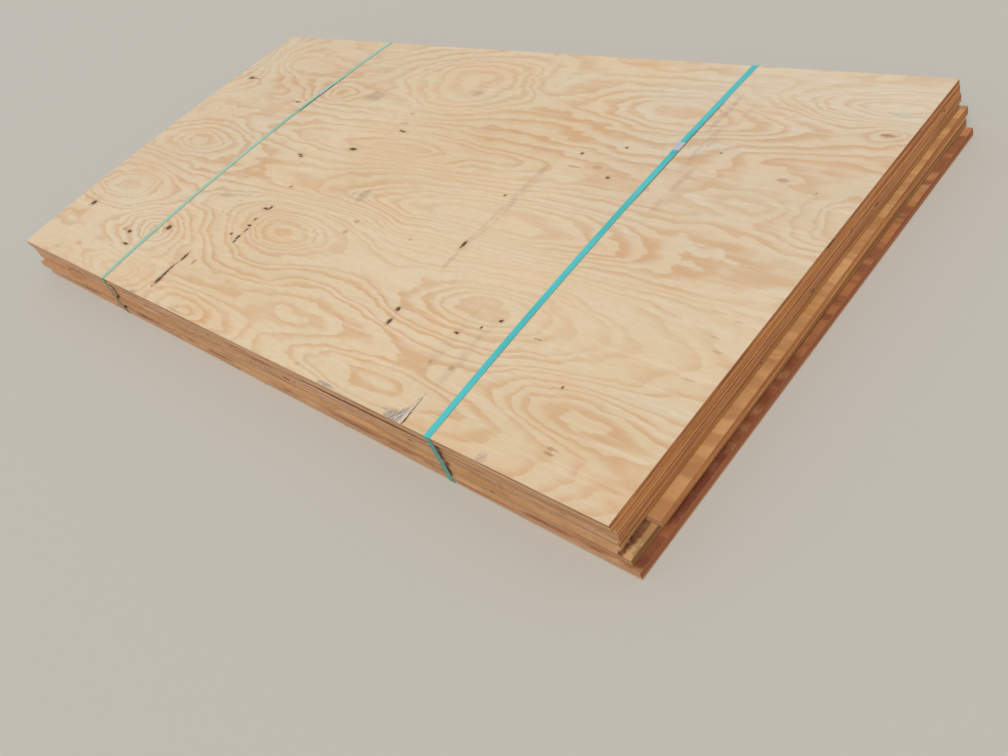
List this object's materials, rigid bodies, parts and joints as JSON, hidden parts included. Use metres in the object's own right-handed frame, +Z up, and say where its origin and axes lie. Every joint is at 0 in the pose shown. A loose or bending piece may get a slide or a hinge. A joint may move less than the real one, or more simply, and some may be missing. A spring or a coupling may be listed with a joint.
{
  "type": "strapped plywood sheet bundle",
  "caption": "Full-size plywood sheets stacked flat and slightly out of line, bound across their width by plastic strapping bands with crimped seals.",
  "frame": {"origin": "middle of the bundle's bounding box in plan, on the undersides of the bands that it rests on", "axes": "+X along the sheets' length, +Y across their width away from the front edge in the picture, +Z up"},
  "size_m": [2.4694, 1.2494, 0.1535],
  "materials": {
    "face_sheet": "sanded softwood veneer, unfinished, cream and tan flame grain",
    "inner_sheet": "sawn plywood edges, layered, orange brown",
    "weathered_sheet": "weathered plywood, dark reddish brown on its open ledge",
    "strap": "teal embossed polyester strapping, satin",
    "seal": "galvanised crimped steel"
  },
  "bodies": {
    "root": {"sheet_1_top": "face_sheet", "sheet_2": "inner_sheet", "sheet_3": "inner_sheet", "sheet_4": "inner_sheet", "sheet_5_notched": "inner_sheet", "sheet_6": "inner_sheet", "sheet_7_bottom": "weathered_sheet", "strap_left": "strap", "strap_right": "strap", "strap_seal": "seal", "strap_seal_left": "seal"}
  },
  "joints": []
}
